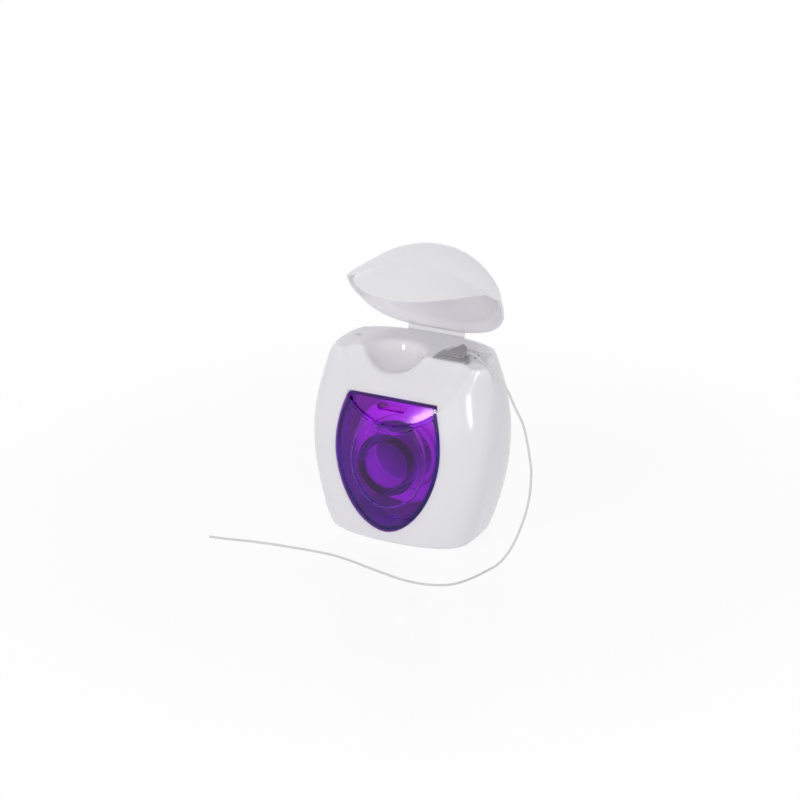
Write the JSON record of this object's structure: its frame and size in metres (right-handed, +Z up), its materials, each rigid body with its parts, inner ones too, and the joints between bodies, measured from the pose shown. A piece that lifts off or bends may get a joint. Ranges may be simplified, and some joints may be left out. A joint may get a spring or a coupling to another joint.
{
  "type": "dental floss dispenser",
  "caption": "Pocket floss dispenser: white egg-shaped case with a flip lid, a clear purple insert, a steel cutter and floss drawn out.",
  "frame": {"origin": "middle of the base, on the surface the dispenser stands on", "axes": "+Z up, -Y towards the window, +X to the cutter's end, right as seen from the front"},
  "size_m": [0.0813, 0.0561, 0.0747],
  "materials": {
    "white_moulding": "glossy white moulded polypropylene",
    "clear_purple": "glossy translucent purple styrene",
    "cutter_steel": "stamped steel, satin",
    "core_moulding": "plain moulded tube",
    "floss": "white waxed floss"
  },
  "bodies": {
    "case": {"case_body": "white_moulding", "window_insert": "clear_purple", "cutter_plate": "cutter_steel", "living_hinge": "white_moulding", "floss_lead": "floss", "floss_strand": "floss"},
    "lid": {"lid": "white_moulding"},
    "spool": {"spool_core": "core_moulding", "floss_winding": "floss"}
  },
  "joints": [
    {"name": "lid_hinge", "type": "hinge", "parent": "case", "child": "lid", "pos_m": [0, 0.01395, 0.05015], "axis": [1, 0, 0], "range_deg": [-35, 60.9], "deforming": ["living_hinge"]},
    {"name": "spool_spin", "type": "hinge", "parent": "case", "child": "spool", "pos_m": [0, 0.00165, 0.0228], "axis": [0, 1, 0], "continuous": true}
  ]
}
